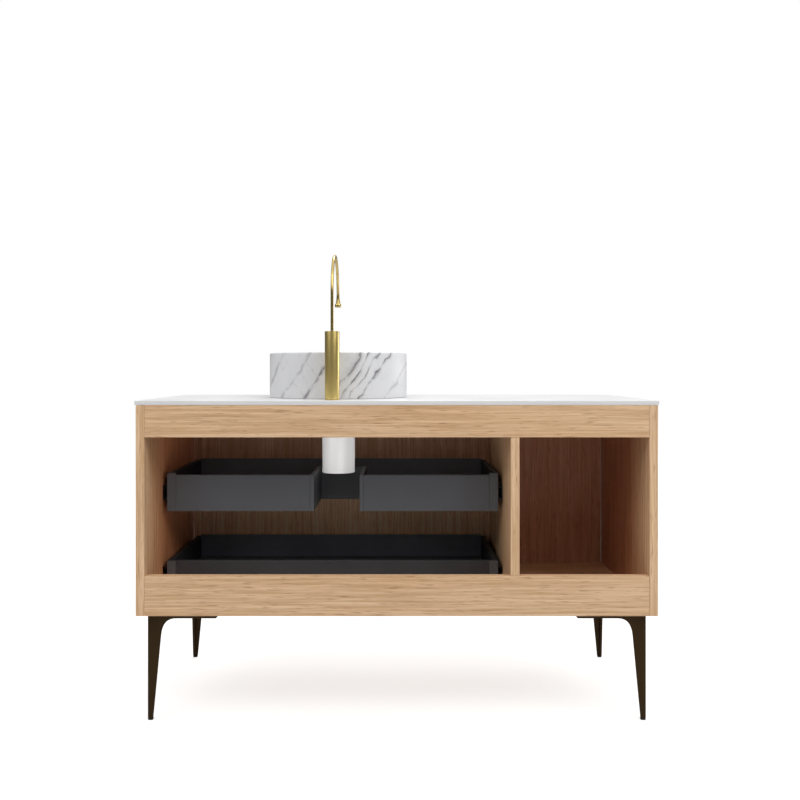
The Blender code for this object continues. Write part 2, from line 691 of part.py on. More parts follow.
def make_drain():
    """Flanged drain, stopper, gasket, nut and tailpiece inside a plain white shroud."""
    place = Vector((FAUCET_X, basin_y, 0))
    flange_top = basin_bottom + BASIN_FLOOR
    flange_bottom = flange_top - DRAIN_FLANGE_HEIGHT
    thread_bottom = cabinet_top - DRAIN_THREAD_DROP
    profile = [
        (DRAIN_BORE_RADIUS, flange_top), (DRAIN_FLANGE_RADIUS, flange_top),
        (DRAIN_FLANGE_RADIUS, flange_bottom), (DRAIN_RADIUS, flange_bottom),
        (DRAIN_RADIUS, thread_bottom), (DRAIN_BORE_RADIUS, thread_bottom),
    ]
    new_part("drain_body", turned_shape(profile), "gold", place, round_piece=True)

    gasket_top = cabinet_top - TOUCH_GAP
    gasket_bottom = gasket_top - GASKET_HEIGHT
    bore = DRAIN_RADIUS + 2 * TOUCH_GAP
    ring = tube_shape(bore, GASKET_RADIUS, gasket_bottom, gasket_top)
    new_part("drain_gasket", ring, "rubber", place, round_piece=True)
    nut_top = gasket_bottom - TOUCH_GAP
    make_nut("drain_nut", DRAIN_NUT_RADIUS, bore, nut_top - DRAIN_NUT_HEIGHT, nut_top, place)

    outer = DRAIN_BORE_RADIUS - TOUCH_GAP
    tail = tube_shape(
        outer - TAILPIECE_WALL, outer, shroud_bottom + TAILPIECE_RECESS,
        thread_bottom + TAILPIECE_OVERLAP,
    )
    new_part("drain_tailpiece", tail, "zinc", place, round_piece=True)
    shroud = tube_shape(SHROUD_RADIUS - SHROUD_WALL, SHROUD_RADIUS, shroud_bottom, panel_top)
    new_part("drain_shroud", shroud, "white_plastic", place, round_piece=True)

    edge = STOPPER_HEIGHT / 2
    profile = [
        (0.0, -STOPPER_STEM_LENGTH), (STOPPER_STEM_RADIUS, -STOPPER_STEM_LENGTH),
        (STOPPER_STEM_RADIUS, 0.0), (STOPPER_RADIUS, 0.0), (STOPPER_RADIUS, edge),
        (STOPPER_RADIUS - edge, STOPPER_HEIGHT), (0.0, STOPPER_HEIGHT),
    ]
    new_part(
        "drain_stopper", turned_shape(profile), "gold",
        (FAUCET_X, basin_y, flange_top + TOUCH_GAP), round_piece=True,
    )


def make_faucet_body():
    """Round column with its lever boss, and the shank and nut under the counter."""
    place = (FAUCET_X, faucet_y, 0)
    neck = SPOUT_RADIUS + SPOUT_RUNNING_CLEARANCE
    shoulder = body_top - BODY_NECK_DEPTH
    profile = [
        (BODY_BORE_RADIUS, body_bottom), (faucet_radius, body_bottom), (faucet_radius, body_top),
        (neck, body_top), (neck, shoulder), (BODY_BORE_RADIUS, shoulder),
    ]
    body = new_part("faucet_body", turned_shape(profile), "gold", place, round_piece=True)
    boss_end = faucet_radius + LEVER_BOSS_LENGTH
    boss_start = (BODY_BORE_RADIUS + faucet_radius) / 2
    boss = rod_shape(LEVER_BOSS_RADIUS, boss_start, boss_end, axis="Y")
    add_boolean(body, new_helper("lever_boss", boss, (FAUCET_X, faucet_y, lever_z)), "UNION")

    shank = tube_shape(SHANK_BORE_RADIUS, SHANK_RADIUS, cabinet_top - SHANK_DROP, counter_top_z)
    new_part("faucet_shank", shank, "zinc", place, round_piece=True)
    nut_bore = SHANK_RADIUS + 2 * TOUCH_GAP
    make_nut("faucet_nut", SHANK_NUT_RADIUS, nut_bore, panel_top - SHANK_NUT_HEIGHT, panel_top, place)


def spout_radius_at(distance_to_end):
    """The tube's radius, which opens like a trumpet over the nozzle's length."""
    opening = max(0.0, 1.0 - distance_to_end / NOZZLE_LENGTH)
    return SPOUT_RADIUS + (NOZZLE_RADIUS - SPOUT_RADIUS) * opening ** 2


def make_spout():
    """The gooseneck: up, over in a half circle towards the user, and down to the nozzle."""
    bend = SPOUT_REACH / 2
    bend_z = SPOUT_RISE
    end_z = bend_z - SPOUT_END_DROP
    up = Vector((0, 0, 1))
    path = [(Vector((0, 0, -SPOUT_ROOT_DEPTH)), up, SPOUT_END_DROP + bend * math.pi + bend_z)]
    for i in range(ARCH_STEPS + 1):
        angle = math.pi * i / ARCH_STEPS
        centre = Vector((0, -bend + bend * math.cos(angle), bend_z + bend * math.sin(angle)))
        direction = Vector((0, -math.sin(angle), math.cos(angle)))
        path.append((centre, direction, SPOUT_END_DROP + bend * (math.pi - angle)))
    for i in range(1, ROUND_STEPS + 1):
        drop = SPOUT_END_DROP * i / ROUND_STEPS
        path.append((Vector((0, -SPOUT_REACH, bend_z - drop)), -up, SPOUT_END_DROP - drop))
    rings = [(centre, direction, spout_radius_at(left)) for centre, direction, left in path]
    end = Vector((0, -SPOUT_REACH, end_z))
    bore = NOZZLE_RADIUS - NOZZLE_LIP
    rings.append((end, -up, bore))
    rings.append((end + up * NOZZLE_RECESS, -up, bore))
    place = (FAUCET_X, faucet_y, body_top)
    new_part("spout", swept_shape(rings, SPOUT_STEPS), "gold", place, round_piece=True)

    aerator = rod_shape(bore - 2 * TOUCH_GAP, 0, NOZZLE_RECESS - TOUCH_GAP)
    place = Vector(place) + end
    new_part("spout_aerator", aerator, "nylon", place, round_piece=True)


def make_lever():
    """A turning hub on the body's front with a stick lever that lifts on a cross pin."""
    hub_back = faucet_radius + LEVER_BOSS_LENGTH + TOUCH_GAP
    hub_front = hub_back + LEVER_HUB_LENGTH
    axis_y = faucet_y - hub_front + LEVER_AXIS_DEPTH
    hub_place = (FAUCET_X, faucet_y, lever_z)
    pin_place = (FAUCET_X, axis_y, lever_z)
    hub_shape = rod_shape(LEVER_HUB_RADIUS, hub_back, hub_front, axis="Y")
    hub = new_part("lever_hub", hub_shape, "gold", hub_place, round_piece=True)
    slot_width = 2 * (LEVER_RADIUS + LEVER_SIDE_CLEARANCE)
    slot = box_shape((slot_width, 2 * LEVER_SLOT_DEPTH, 3 * LEVER_HUB_RADIUS))
    slot_place = (FAUCET_X, faucet_y - hub_front, lever_z)
    add_boolean(hub, new_helper("lever_slot_cutter", slot, slot_place))
    reach = 2 * LEVER_HUB_RADIUS
    bore = rod_shape(LEVER_PIN_RADIUS + TOUCH_GAP, -reach, reach, PIN_STEPS, "X")
    bore_helper = new_helper("lever_pin_cutter", bore, pin_place)
    add_boolean(hub, bore_helper)

    forward = Vector((0, -1, 0))
    rings = []
    for i in range(1, ROUND_STEPS + 1):
        angle = math.pi / 2 * (i / ROUND_STEPS - 1)
        radius = LEVER_RADIUS * math.cos(angle)
        rings.append((forward * LEVER_RADIUS * math.sin(angle), forward, radius))
    tip = LEVER_LENGTH - LEVER_RADIUS
    for i in range(ROUND_STEPS):
        angle = math.pi / 2 * i / ROUND_STEPS
        radius = LEVER_RADIUS * math.cos(angle)
        rings.append((forward * (tip + LEVER_RADIUS * math.sin(angle)), forward, radius))
    handle = new_part("lever_handle", swept_shape(rings, SPOUT_STEPS), "gold", pin_place, round_piece=True)
    add_boolean(handle, bore_helper)
    pin = rod_shape(LEVER_PIN_RADIUS, -LEVER_PIN_HALF_LENGTH, LEVER_PIN_HALF_LENGTH, PIN_STEPS, "X")
    new_part("lever_pin", pin, "zinc", pin_place, round_piece=True)


clear_scene()
make_carcass()
make_counter()
make_legs()
make_door()
make_upper_drawer()
make_lower_drawer()
make_basin()
make_drain()
make_faucet_body()
make_spout()
make_lever()
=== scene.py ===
import json
import math

import bmesh
import bpy
from mathutils import Matrix, Vector

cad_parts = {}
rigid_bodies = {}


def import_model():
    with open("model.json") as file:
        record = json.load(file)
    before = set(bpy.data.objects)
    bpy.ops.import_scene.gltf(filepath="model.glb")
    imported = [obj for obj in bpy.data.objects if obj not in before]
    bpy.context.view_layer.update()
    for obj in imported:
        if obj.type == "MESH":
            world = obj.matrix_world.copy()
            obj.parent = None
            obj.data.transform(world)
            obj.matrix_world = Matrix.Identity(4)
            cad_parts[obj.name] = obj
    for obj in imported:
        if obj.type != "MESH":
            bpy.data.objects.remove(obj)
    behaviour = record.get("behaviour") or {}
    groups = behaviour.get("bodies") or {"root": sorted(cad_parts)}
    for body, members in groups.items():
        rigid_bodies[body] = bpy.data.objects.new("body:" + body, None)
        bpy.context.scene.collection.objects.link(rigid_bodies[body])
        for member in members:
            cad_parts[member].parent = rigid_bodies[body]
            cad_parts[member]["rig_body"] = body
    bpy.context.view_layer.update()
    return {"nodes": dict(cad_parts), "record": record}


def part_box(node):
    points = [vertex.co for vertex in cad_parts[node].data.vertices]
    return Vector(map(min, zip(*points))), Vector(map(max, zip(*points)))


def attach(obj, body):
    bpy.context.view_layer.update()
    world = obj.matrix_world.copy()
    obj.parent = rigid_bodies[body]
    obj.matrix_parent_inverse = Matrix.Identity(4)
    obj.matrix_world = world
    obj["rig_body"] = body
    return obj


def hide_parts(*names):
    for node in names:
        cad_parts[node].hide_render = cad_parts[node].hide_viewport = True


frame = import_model()
slotOf = {part["node"]: part["material_slot"] for part in frame["record"]["subparts"]}
print("frame loaded")


# camera, light and floor

view = {"place": (-0.0074, 2.286, 0.8215), "turn": (90, 0, 180), "lens": 39.4, "sensor": 36,
        "shiftY": -0.0375}
# sine of the height above the horizon, brightness
skyLook = [(-0.2, 0.05), (0.0, 0.08), (0.35, 0.22), (0.7, 0.75), (1.0, 1.10)]
pipeLamps = [
    # name, place, aim, size, watts
    ("pipeLamp", (-0.1, 2.25, 0.55), (0.155, -0.03, 0.62), 4.5, 60),
    ("pipeLampLeft", (3.1, 1.3, 0.55), (0.155, -0.03, 0.62), 2.0, 60),
    ("pipeLampRight", (-2.8, 1.3, 0.55), (0.155, -0.03, 0.62), 2.0, 76),
]
lamps = [
    # name, place, aim, size, watts
    ("keyLamp", (-3.5, 3.0, 4.4), (0.0, 0.0, 0.5), 4.0, 125),
    ("fillLamp", (3.5, 3.0, 4.4), (0.0, 0.0, 0.5), 4.0, 75),
    ("frontLamp", (-0.6, -3.6, 4.8), (0.0, 0.0, 0.5), 2.6, 78),
    ("edgeLamp", (-3.6, -2.3, 1.1), (0.1, 0.0, 0.8), 1.6, 28),
]


def addNode(tree, kind, inputs=None, **settings):
    node = tree.nodes.new(kind)
    for key, value in settings.items():
        setattr(node, key, value)
    for key, value in (inputs or {}).items():
        if isinstance(value, bpy.types.NodeSocket):
            tree.links.new(value, node.inputs[key])
        else:
            node.inputs[key].default_value = value
    return node


def makeCamera():
    data = bpy.data.cameras.new("rearCamera")
    data.lens = view["lens"]
    data.sensor_width = view["sensor"]
    data.shift_y = view["shiftY"]
    camera = bpy.data.objects.new("rearCamera", data)
    camera.location = view["place"]
    camera.rotation_euler = [math.radians(turn) for turn in view["turn"]]
    bpy.context.scene.collection.objects.link(camera)
    bpy.context.scene.camera = camera


def makeSky():
    world = bpy.data.worlds.new("studioSky")
    bpy.context.scene.world = world
    world.use_nodes = True
    tree = world.node_tree
    tree.nodes.clear()
    coords = addNode(tree, "ShaderNodeTexCoord")
    axes = addNode(tree, "ShaderNodeSeparateXYZ", {0: coords.outputs["Generated"]})
    low, high = skyLook[0][0], skyLook[-1][0]
    ramp = addNode(tree, "ShaderNodeMapRange", {0: axes.outputs[2], 1: low, 2: high, 3: 0.0, 4: 1.0})
    shade = addNode(tree, "ShaderNodeValToRGB", {0: ramp.outputs[0]})
    for index, (rise, level) in enumerate(skyLook):
        at = (rise - low) / (high - low)
        stops = shade.color_ramp.elements
        stop = stops[0] if index == 0 else stops[-1] if at == 1.0 else stops.new(at)
        stop.color = (level, level, level, 1)
    light = addNode(tree, "ShaderNodeBackground", {0: shade.outputs[0], 1: 1.0})
    backdrop = addNode(tree, "ShaderNodeBackground", {0: (1, 1, 1, 1), 1: 1.0})
    rays = addNode(tree, "ShaderNodeLightPath")
    mix = addNode(tree, "ShaderNodeMixShader", {
        0: rays.outputs["Is Camera Ray"], 1: light.outputs[0], 2: backdrop.outputs[0]})
    addNode(tree, "ShaderNodeOutputWorld", {0: mix.outputs[0]})


def makeLamp(name, place, aim, size, watts):
    data = bpy.data.lights.new(name, "AREA")
    data.size = size
    data.energy = watts
    lamp = bpy.data.objects.new(name, data)
    lamp.location = place
    lamp.rotation_euler = (Vector(aim) - Vector(place)).to_track_quat("-Z", "Y").to_euler()
    bpy.context.scene.collection.objects.link(lamp)
    return lamp


def makePipeLamps():
    # these reach only the white shroud, which stands in the cabinet's shade
    shroud = bpy.data.collections.new("shroudOnly")
    shroud.objects.link(bpy.data.objects["drainShroud"])
    for settings in pipeLamps:
        lamp = makeLamp(*settings)
        lamp.light_linking.receiver_collection = shroud
        lamp.light_linking.blocker_collection = shroud


def makeFloor():
    floor = {"half": 12.0, "drop": 0.0004, "albedo": 0.55, "glow": 0.65}
    work = bmesh.new()
    bmesh.ops.create_grid(work, x_segments=1, y_segments=1, size=floor["half"])
    bmesh.ops.translate(work, verts=work.verts, vec=(0, 0, -floor["drop"]))
    mesh = bpy.data.meshes.new("paleFloor")
    work.to_mesh(mesh)
    work.free()
    plane = bpy.data.objects.new("paleFloor", mesh)
    bpy.context.scene.collection.objects.link(plane)
    material = bpy.data.materials.new("paleFloor")
    material.use_nodes = True
    tree = material.node_tree
    tree.nodes.clear()
    paint = addNode(tree, "ShaderNodeBsdfDiffuse", {0: (floor["albedo"],) * 3 + (1,)})
    rays = addNode(tree, "ShaderNodeLightPath")
    glow = addNode(tree, "ShaderNodeMath", {0: rays.outputs["Is Camera Ray"], 1: floor["glow"]},
                   operation="MULTIPLY")
    shine = addNode(tree, "ShaderNodeEmission", {0: (1, 1, 1, 1), 1: glow.outputs[0]})
    both = addNode(tree, "ShaderNodeAddShader", {0: paint.outputs[0], 1: shine.outputs[0]})
    addNode(tree, "ShaderNodeOutputMaterial", {0: both.outputs[0]})
    mesh.materials.append(material)


makeCamera()
makeSky()
for settings in lamps:
    makeLamp(*settings)
makeFloor()
bpy.context.scene.view_settings.view_transform = "Standard"
print("camera, light and floor")


# shared shader groups

def newGroup(name, inputs, outputs):
    group = bpy.data.node_groups.new(name, "ShaderNodeTree")
    for label, kind, value in inputs:
        socket = group.interface.new_socket(name=label, in_out="INPUT", socket_type=kind)
        if value is not None:
            socket.default_value = value
    for label in outputs:
        group.interface.new_socket(name=label, in_out="OUTPUT", socket_type="NodeSocketFloat")
    start = group.nodes.new("NodeGroupInput")
    end = group.nodes.new("NodeGroupOutput")
    return group, start, end


def stretchedNoise(tree, vector, scales, detail=2.0, roughness=0.5, distortion=0.0):
    mapping = addNode(tree, "ShaderNodeMapping", {"Vector": vector, "Scale": scales})
    noise = addNode(tree, "ShaderNodeTexNoise", {
        "Vector": mapping.outputs[0], "Scale": 1.0, "Detail": detail,
        "Roughness": roughness, "Distortion": distortion})
    return noise.outputs["Fac"]


def spread(tree, value, low, high):
    node = addNode(tree, "ShaderNodeMapRange", {0: value, 1: low, 2: high, 3: 0.0, 4: 1.0})
    return node.outputs[0]


def addLayers(group, end, vector, layers):
    # one stretched noise for each named output
    raw, shown = {}, {}
    for label, (stretch, detail, roughness, low, high) in layers.items():
        raw[label] = stretchedNoise(group, vector, stretch, detail, roughness)
        shown[label] = spread(group, raw[label], low, high)
        group.links.new(shown[label], end.inputs[label])
    return raw, shown


grainLayers = {
    # waves per metre along and across the grain, detail, roughness, band that shows
    "Figure": ((1.1, 17, 17), 2.0, 0.55, 0.28, 0.72),
    "Streaks": ((3.6, 185, 185), 3.0, 0.60, 0.37, 0.63),
    "Fibre": ((16, 700, 700), 2.0, 0.6, 0.30, 0.70),
    "Pores": ((26, 430, 430), 1.0, 0.5, 0.60, 0.74),
}
grainBend = {"Scale": 3.2, "Detail": 1.0}


def makeGrainGroup():
    # the grain runs along the vector's X, in metres
    group, start, end = newGroup(
        "oakGrain", [("Vector", "NodeSocketVector", None), ("Waviness", "NodeSocketFloat", 0.004)],
        [*grainLayers, "Height"])
    vector = start.outputs["Vector"]
    slow = addNode(group, "ShaderNodeTexNoise", {"Vector": vector, **grainBend})
    centred = addNode(group, "ShaderNodeVectorMath",
                      {0: slow.outputs["Color"], 1: (0.5, 0.5, 0.5)}, operation="SUBTRACT")
    bend = addNode(group, "ShaderNodeVectorMath",
                   {0: centred.outputs[0], "Scale": start.outputs["Waviness"]}, operation="SCALE")
    wavy = addNode(group, "ShaderNodeVectorMath", {0: vector, 1: bend.outputs[0]}, operation="ADD")
    shown = addLayers(group, end, wavy.outputs[0], grainLayers)[1]
    raised = addNode(group, "ShaderNodeMath", {0: shown["Fibre"], 1: shown["Pores"]},
                     operation="SUBTRACT")
    group.links.new(raised.outputs[0], end.inputs["Height"])
    return group


speckleLook = {"cloudDetail": 3.0, "fineDetail": 2.0, "cloudBand": (0.3, 0.7), "fineBand": (0.35, 0.65)}


def makeSpeckleGroup():
    # slow clouding, fine speckle and a height for bump
    group, start, end = newGroup(
        "fineSpeckle", [("Vector", "NodeSocketVector", None), ("Fine", "NodeSocketFloat", 900.0),
                        ("Slow", "NodeSocketFloat", 9.0)], ["Cloud", "Speckle", "Height"])
    vector = start.outputs["Vector"]
    cloud = addNode(group, "ShaderNodeTexNoise", {
        "Vector": vector, "Scale": start.outputs["Slow"], "Detail": speckleLook["cloudDetail"]})
    fine = addNode(group, "ShaderNodeTexNoise", {
        "Vector": vector, "Scale": start.outputs["Fine"], "Detail": speckleLook["fineDetail"]})
    cloudMask = spread(group, cloud.outputs["Fac"], *speckleLook["cloudBand"])
    fineMask = spread(group, fine.outputs["Fac"], *speckleLook["fineBand"])
    group.links.new(cloudMask, end.inputs["Cloud"])
    group.links.new(fineMask, end.inputs["Speckle"])
    group.links.new(fine.outputs["Fac"], end.inputs["Height"])
    return group


brushLayers = {
    # waves per metre across and along the lines, detail, roughness, band that shows
    "Lines": ((1900, 1900, 26), 3.0, 0.65, 0.3, 0.7),
    "Wear": ((30, 30, 18), 3.0, 0.6, 0.35, 0.75),
}


def makeBrushGroup():
    # fine lines along the vector's Z with slow patches of wear
    group, start, end = newGroup(
        "brushedLines", [("Vector", "NodeSocketVector", None)], [*brushLayers, "Height"])
    raw = addLayers(group, end, start.outputs["Vector"], brushLayers)[0]
    group.links.new(raw["Lines"], end.inputs["Height"])
    return group


grainGroup = makeGrainGroup()
speckleGroup = makeSpeckleGroup()
brushGroup = makeBrushGroup()


def useGroup(tree, group, vector, **values):
    node = tree.nodes.new("ShaderNodeGroup")
    node.node_tree = group
    tree.links.new(vector, node.inputs["Vector"])
    for key, value in values.items():
        node.inputs[key].default_value = value
    return node


def newMaterial(name, metallic=0.0):
    material = bpy.data.materials.new(name)
    material.use_nodes = True
    tree = material.node_tree
    shader = tree.nodes["Principled BSDF"]
    shader.inputs["Metallic"].default_value = metallic
    coords = addNode(tree, "ShaderNodeTexCoord")
    return material, tree, shader, coords.outputs["Object"]


def blendColour(tree, factor, first, second, mode="MIX"):
    node = addNode(tree, "ShaderNodeMix", data_type="RGBA", blend_type=mode)
    for key, value in ((0, factor), (6, first), (7, second)):
        if isinstance(value, bpy.types.NodeSocket):
            tree.links.new(value, node.inputs[key])
        else:
            node.inputs[key].default_value = (*value, 1.0) if key else value
    return node.outputs[2]


def scaled(tree, value, factor):
    return addNode(tree, "ShaderNodeMath", {0: value, 1: factor}, operation="MULTIPLY").outputs[0]


def addBump(tree, shader, height, strength, distance):
    bump = addNode(tree, "ShaderNodeBump", {
        "Height": height, "Strength": strength, "Distance": distance})
    tree.links.new(bump.outputs[0], shader.inputs["Normal"])


def varyRoughness(tree, shader, value, low, high):
    node = addNode(tree, "ShaderNodeMapRange", {0: value, 1: 0.0, 2: 1.0, 3: low, 4: high})
    tree.links.new(node.outputs[0], shader.inputs["Roughness"])


# materials

oakLook = {
    "middle": (0.840, 0.525, 0.290), "light": (0.960, 0.705, 0.470), "dark": (0.590, 0.328, 0.146),
    "pore": (0.400, 0.205, 0.085), "figure": 0.70, "streaks": 0.82, "fibre": 0.32, "pores": 0.65,
    "waviness": 0.010, "shifts": (1.0, 0.37, 0.71), "rough": (0.42, 0.58), "bump": 0.22, "depth": 0.0002,
    "fade": (0.240, 0.060),     # the painted inside shade and light starts and is full at these places along Y
}


def makeOak(name, along, shift, inner=None):
    material, tree, shader, coords = newMaterial(name)
    axes = addNode(tree, "ShaderNodeSeparateXYZ", {0: coords})
    order = {"x": (0, 1, 2), "y": (1, 2, 0), "z": (2, 0, 1)}[along]
    turned = addNode(tree, "ShaderNodeCombineXYZ", {i: axes.outputs[order[i]] for i in range(3)})
    moved = addNode(tree, "ShaderNodeVectorMath",
                    {0: turned.outputs[0], 1: [shift * share for share in oakLook["shifts"]]},
                    operation="ADD")
    grain = useGroup(tree, grainGroup, moved.outputs[0], Waviness=oakLook["waviness"])
    base = oakLook["middle"]
    for layer, colour in (("Figure", "light"), ("Streaks", "dark"), ("Fibre", "light"), ("Pores", "pore")):
        amount = scaled(tree, grain.outputs[layer], oakLook[layer.lower()])
        base = blendColour(tree, amount, base, oakLook[colour])
    if inner:
        # painted shade: faces inside the cabinet are painted redder and darker, fading in from the open
        # rear, and a tint above one paints light instead
        axis, start, end, tint = inner
        across = axes.outputs["xyz".index(axis)]
        face = addNode(tree, "ShaderNodeMapRange", {0: across, 1: start, 2: end})
        depth = addNode(tree, "ShaderNodeMapRange", {
            0: axes.outputs[1], 1: oakLook["fade"][0], 2: oakLook["fade"][1]})
        mask = addNode(tree, "ShaderNodeMath", {0: face.outputs[0], 1: depth.outputs[0]},
                       operation="MULTIPLY")
        base = blendColour(tree, mask.outputs[0], base, tint, "MULTIPLY")
    tree.links.new(base, shader.inputs["Base Color"])
    varyRoughness(tree, shader, grain.outputs["Streaks"], *oakLook["rough"])
    addBump(tree, shader, grain.outputs["Height"], oakLook["bump"], oakLook["depth"])
    return material


stoneLook = {"low": (0.83, 0.83, 0.84), "high": (0.87, 0.87, 0.875), "fleck": (0.74, 0.74, 0.75),
             "flecks": 0.10, "fine": 700.0, "slow": 7.0, "rough": (0.38, 0.48),
             "bump": 0.05, "depth": 0.0002}


def makeStone():
    material, tree, shader, coords = newMaterial("counterStone")
    speckle = useGroup(tree, speckleGroup, coords, Fine=stoneLook["fine"], Slow=stoneLook["slow"])
    base = blendColour(tree, speckle.outputs["Cloud"], stoneLook["low"], stoneLook["high"])
    flecks = scaled(tree, speckle.outputs["Speckle"], stoneLook["flecks"])
    base = blendColour(tree, flecks, base, stoneLook["fleck"])
    tree.links.new(base, shader.inputs["Base Color"])
    varyRoughness(tree, shader, speckle.outputs["Cloud"], *stoneLook["rough"])
    addBump(tree, shader, speckle.outputs["Height"], stoneLook["bump"], stoneLook["depth"])
    return material


marbleLook = {
    # each vein: offset across the veins in metres, half width, darkness
    "veins": [
        (0.2010, 0.0018, 0.85), (0.1420, 0.0017, 0.85), (0.0800, 0.0030, 1.00),
        (0.0190, 0.0044, 0.75), (-0.0060, 0.0024, 1.00), (-0.0280, 0.0013, 0.70),
        (-0.0540, 0.0020, 1.00), (-0.1160, 0.0013, 0.45), (-0.1700, 0.0015, 0.50),
        (0.2500, 0.0014, 0.60),
    ],
    "span": 0.36, "lean": 0.64, "shift": 0.0215, "rough": (0.42, 0.54), "bump": 0.04, "depth": 0.0002,
    "slow": {"Scale": 11.0, "Detail": 2.0, "Roughness": 0.5}, "slowSway": 0.050,
    "fine": {"Scale": 55.0, "Detail": 4.0, "Roughness": 0.65}, "fineSway": 0.013,
    "fade": {"Scale": 42.0, "Detail": 3.0}, "fadeBand": (0.40, 0.56), "faintest": 0.22,
    "edge": {"widen": 4.2, "strength": 0.5}, "edgeColour": (0.33, 0.32, 0.36),
    "hair": {"scales": (34, 12, 8), "detail": 3.0, "roughness": 0.6, "distortion": 0.4},
    "hairTurn": -33, "hairWidth": 0.006, "hairs": 0.34, "hairColour": (0.42, 0.41, 0.43),
    "ground": (0.82, 0.822, 0.835), "cloud": (0.66, 0.67, 0.70), "cloudBand": (0.42, 0.72), "clouds": 0.35,
    "dark": (0.060, 0.050, 0.055), "warm": (0.20, 0.115, 0.055), "warmBand": (0.50, 0.66),
}


def veinRamp(tree, place, look, widen=1.0, strength=1.0):
    ramp = addNode(tree, "ShaderNodeValToRGB", {0: place})
    stops = ramp.color_ramp
    stops.interpolation = "EASE"
    stops.elements[0].color = (0, 0, 0, 1)
    stops.elements[1].color = (0, 0, 0, 1)
    for offset, half, dark in look["veins"]:
        for side, level in ((-1, 0.0), (0, dark * strength), (1, 0.0)):
            at = 0.5 + (offset + side * half * widen) / (2 * look["span"])
            stops.elements.new(at).color = (level, level, level, 1)
    return ramp.outputs[0]


def makeMarble(axisPlace):
    look = marbleLook
    material, tree, shader, coords = newMaterial("basinMarble")
    local = addNode(tree, "ShaderNodeVectorMath", {0: coords, 1: axisPlace}, operation="SUBTRACT")
    local = local.outputs[0]
    slow = addNode(tree, "ShaderNodeTexNoise", {"Vector": local, **look["slow"]}).outputs["Fac"]
    fine = addNode(tree, "ShaderNodeTexNoise", {"Vector": local, **look["fine"]}).outputs["Fac"]
    fade = addNode(tree, "ShaderNodeTexNoise", {"Vector": local, **look["fade"]}).outputs["Fac"]

    # distance across the leaning veins, swayed by both noises
    across = addNode(tree, "ShaderNodeVectorMath", {0: local, 1: (1.0, 0.0, look["lean"])},
                     operation="DOT_PRODUCT").outputs["Value"]
    for noise, sway in ((slow, look["slowSway"]), (fine, look["fineSway"])):
        across = addNode(tree, "ShaderNodeMath", {0: noise, 1: sway, 2: across},
                         operation="MULTIPLY_ADD").outputs[0]
    centred = addNode(tree, "ShaderNodeMath", {0: across, 1: look["shift"]}, operation="SUBTRACT")
    place = addNode(tree, "ShaderNodeMapRange", {
        0: centred.outputs[0], 1: -look["span"], 2: look["span"], 3: 0.0, 4: 1.0}).outputs[0]

    strength = addNode(tree, "ShaderNodeMapRange", {
        0: fade, 1: look["fadeBand"][0], 2: look["fadeBand"][1], 3: look["faintest"], 4: 1.0}).outputs[0]
    core, edge = (
        addNode(tree, "ShaderNodeMath", {0: ramp, 1: strength}, operation="MULTIPLY").outputs[0]
        for ramp in (veinRamp(tree, place, look), veinRamp(tree, place, look, **look["edge"])))

    # hairlines that branch between the veins
    turned = addNode(tree, "ShaderNodeMapping", {
        "Vector": local, "Rotation": (0, math.radians(look["hairTurn"]), 0)}).outputs[0]
    hair = stretchedNoise(tree, turned, **look["hair"])
    ridge = addNode(tree, "ShaderNodeMath", {0: hair, 1: 0.5}, operation="SUBTRACT")
    ridge = addNode(tree, "ShaderNodeMath", {0: ridge.outputs[0]}, operation="ABSOLUTE")
    hairs = addNode(tree, "ShaderNodeMapRange", {
        0: ridge.outputs[0], 1: 0.0, 2: look["hairWidth"], 3: look["hairs"], 4: 0.0}).outputs[0]

    clouds = scaled(tree, spread(tree, slow, *look["cloudBand"]), look["clouds"])
    veinColour = blendColour(tree, spread(tree, fine, *look["warmBand"]), look["dark"], look["warm"])
    base = look["ground"]
    for mask, colour in ((clouds, look["cloud"]), (hairs, look["hairColour"]),
                         (edge, look["edgeColour"]), (core, veinColour)):
        base = blendColour(tree, mask, base, colour)
    tree.links.new(base, shader.inputs["Base Color"])
    varyRoughness(tree, shader, edge, *look["rough"])
    addBump(tree, shader, core, look["bump"], look["depth"])
    return material


metalLook = {"wear": 0.25, "depth": 0.0001}


def makeMetal(name, colour, dark, rough, strength=0.12, lines=0.35):
    material, tree, shader, coords = newMaterial(name, metallic=1.0)
    brush = useGroup(tree, brushGroup, coords)
    base = blendColour(tree, scaled(tree, brush.outputs["Lines"], lines), colour, dark)
    base = blendColour(tree, scaled(tree, brush.outputs["Wear"], metalLook["wear"]), base, dark)
    tree.links.new(base, shader.inputs["Base Color"])
    varyRoughness(tree, shader, brush.outputs["Lines"], *rough)
    addBump(tree, shader, brush.outputs["Height"], strength, metalLook["depth"])
    return material


coatLook = {"slow": 12.0, "clouds": 0.5, "speckles": 0.22, "depth": 0.0001}


def makeCoated(name, colour, worn, rough, fine=1100.0, bump=0.18, metallic=0.0, shade=None):
    material, tree, shader, coords = newMaterial(name, metallic)
    speckle = useGroup(tree, speckleGroup, coords, Fine=fine, Slow=coatLook["slow"])
    base = blendColour(tree, scaled(tree, speckle.outputs["Cloud"], coatLook["clouds"]), colour, worn)
    base = blendColour(tree, scaled(tree, speckle.outputs["Speckle"], coatLook["speckles"]), base, worn)
    if shade:
        # painted shade: darker in front of the rear end
        start, end, tint = shade
        axes = addNode(tree, "ShaderNodeSeparateXYZ", {0: coords})
        depth = addNode(tree, "ShaderNodeMapRange", {0: axes.outputs[1], 1: start, 2: end})
        base = blendColour(tree, depth.outputs[0], base, tint, "MULTIPLY")
    tree.links.new(base, shader.inputs["Base Color"])
    varyRoughness(tree, shader, speckle.outputs["Cloud"], *rough)
    addBump(tree, shader, speckle.outputs["Height"], bump, coatLook["depth"])
    return material


